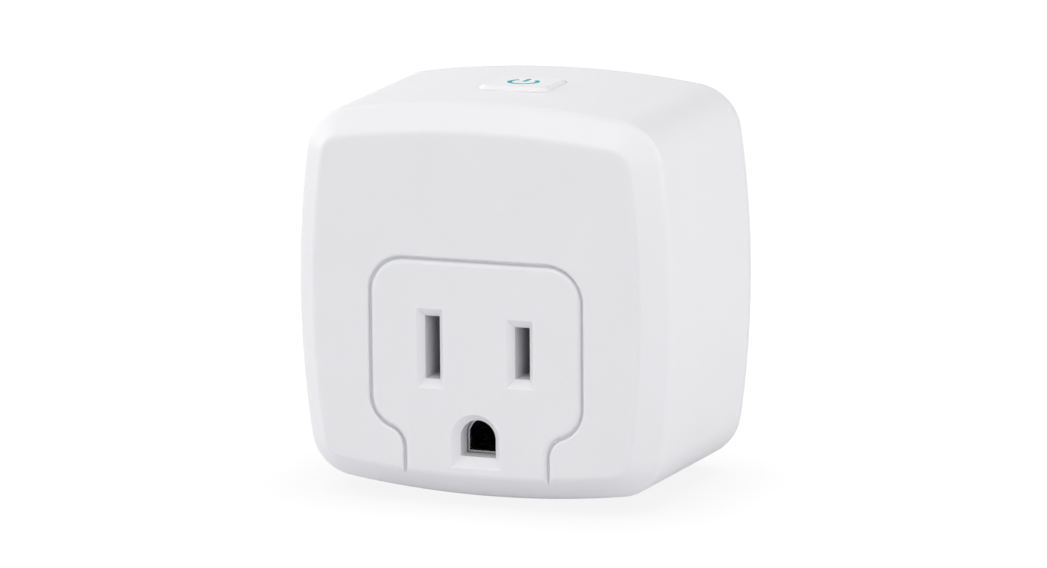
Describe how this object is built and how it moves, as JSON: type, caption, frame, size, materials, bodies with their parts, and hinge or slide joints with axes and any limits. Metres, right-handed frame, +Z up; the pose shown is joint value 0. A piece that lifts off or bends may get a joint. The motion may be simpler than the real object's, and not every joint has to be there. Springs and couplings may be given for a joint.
{
  "type": "smart plug",
  "caption": "Rounded-square plug-in smart switch: grounded outlet in front, blades and ground pin behind, push button on top, relay inside.",
  "frame": {"origin": "on the wall face, midway between the two flat blades", "axes": "+X right seen from the front, +Y out of the wall face into the wall receptacle, +Z up towards the button"},
  "size_m": [0.0544, 0.0558, 0.0544],
  "materials": {
    "shell_white": "satin",
    "cover_white": "satin",
    "button_white": "satin",
    "symbol_cyan": "translucent",
    "carrier_ivory": "matte",
    "contact_bronze": "polished",
    "blade_nickel": "polished",
    "switch_black": "matte",
    "pressed_steel": "brushed",
    "plunger_cream": "satin",
    "dome_steel": "polished",
    "tin": "satin",
    "lamp_white": "matte",
    "lamp_lens": "polished",
    "board_green": "satin",
    "board_blue": "satin",
    "copper_trace": "satin",
    "can_aluminium": "satin",
    "sleeve_dark": "gloss",
    "ferrite": "matte",
    "copper_wire": "gloss",
    "resistor_green": "matte",
    "varistor_blue": "gloss",
    "solder": "satin",
    "chip_black": "matte",
    "ceramic_tan": "matte",
    "relay_blue": "satin",
    "relay_base_black": "matte",
    "relay_iron": "satin",
    "bobbin_white": "satin",
    "spring_copper": "polished",
    "contact_silver": "polished",
    "zinc_screw": "satin",
    "sheet_paper": "matte"
  },
  "bodies": {
    "housing": {"front_shell": "shell_white", "rear_cover": "cover_white", "switch_body": "switch_black", "switch_frame": "pressed_steel", "switch_dome": "dome_steel", "switch_legs": "tin", "status_led": "lamp_white", "led_lens": "lamp_lens", "control_board": "board_green", "header_body": "switch_black", "header_pins": "tin", "wifi_board": "board_blue", "wifi_shield": "pressed_steel", "wifi_antenna": "copper_trace", "main_board": "board_green", "bulk_capacitors": "can_aluminium", "output_capacitor": "can_aluminium", "capacitor_sleeves": "sleeve_dark", "capacitor_leads": "tin", "inductor_core": "ferrite", "inductor_winding": "copper_wire", "fuse_resistor": "resistor_green", "varistor": "varistor_blue", "part_leads": "tin", "solder_joints": "solder", "resistors": "chip_black", "ceramic_capacitors": "ceramic_tan", "chip_legs": "tin", "rectifier_bridge": "chip_black", "converter_chip": "chip_black", "voltage_regulator": "chip_black", "relay_driver": "chip_black", "flyback_diode": "chip_black", "relay_base": "relay_base_black", "relay_case": "relay_blue", "relay_yoke": "relay_iron", "relay_core": "relay_iron", "relay_bobbin": "bobbin_white", "relay_coil": "copper_wire", "relay_coil_pins": "tin", "relay_terminal": "contact_bronze", "relay_fixed_contact": "contact_silver", "line_blade": "blade_nickel", "neutral_blade": "blade_nickel", "ground_pin": "blade_nickel", "line_contact": "contact_bronze", "neutral_contact": "contact_bronze", "ground_contact": "contact_bronze", "contact_carrier": "carrier_ivory", "contact_retainer": "carrier_ivory", "carrier_screws": "zinc_screw", "board_screws": "zinc_screw", "line_jumper": "solder", "insulating_sheet": "sheet_paper"},
    "button": {"button_cap": "button_white", "symbol_light_guide": "symbol_cyan"},
    "switch_stem": {"switch_plunger": "plunger_cream"},
    "armature": {"relay_armature": "relay_iron", "relay_contact_spring": "spring_copper", "relay_moving_contact": "contact_silver"}
  },
  "joints": [
    {"name": "button_press", "type": "slide", "parent": "housing", "child": "button", "axis": [0, 0, -1], "range_m": [0, 0.0003]},
    {"name": "stem_press", "type": "slide", "parent": "housing", "child": "switch_stem", "axis": [0, 0, -1], "range_m": [0, 0.0003], "deforming": ["switch_dome"]},
    {"name": "armature_swing", "type": "hinge", "parent": "housing", "child": "armature", "pos_m": [0.0152, -0.02145, 0.0144], "axis": [0, 0, -1], "range_deg": [0, 4.2]}
  ],
  "couplings": [
    {"joint": "stem_press", "follows": "button_press", "ratio": 1}
  ]
}
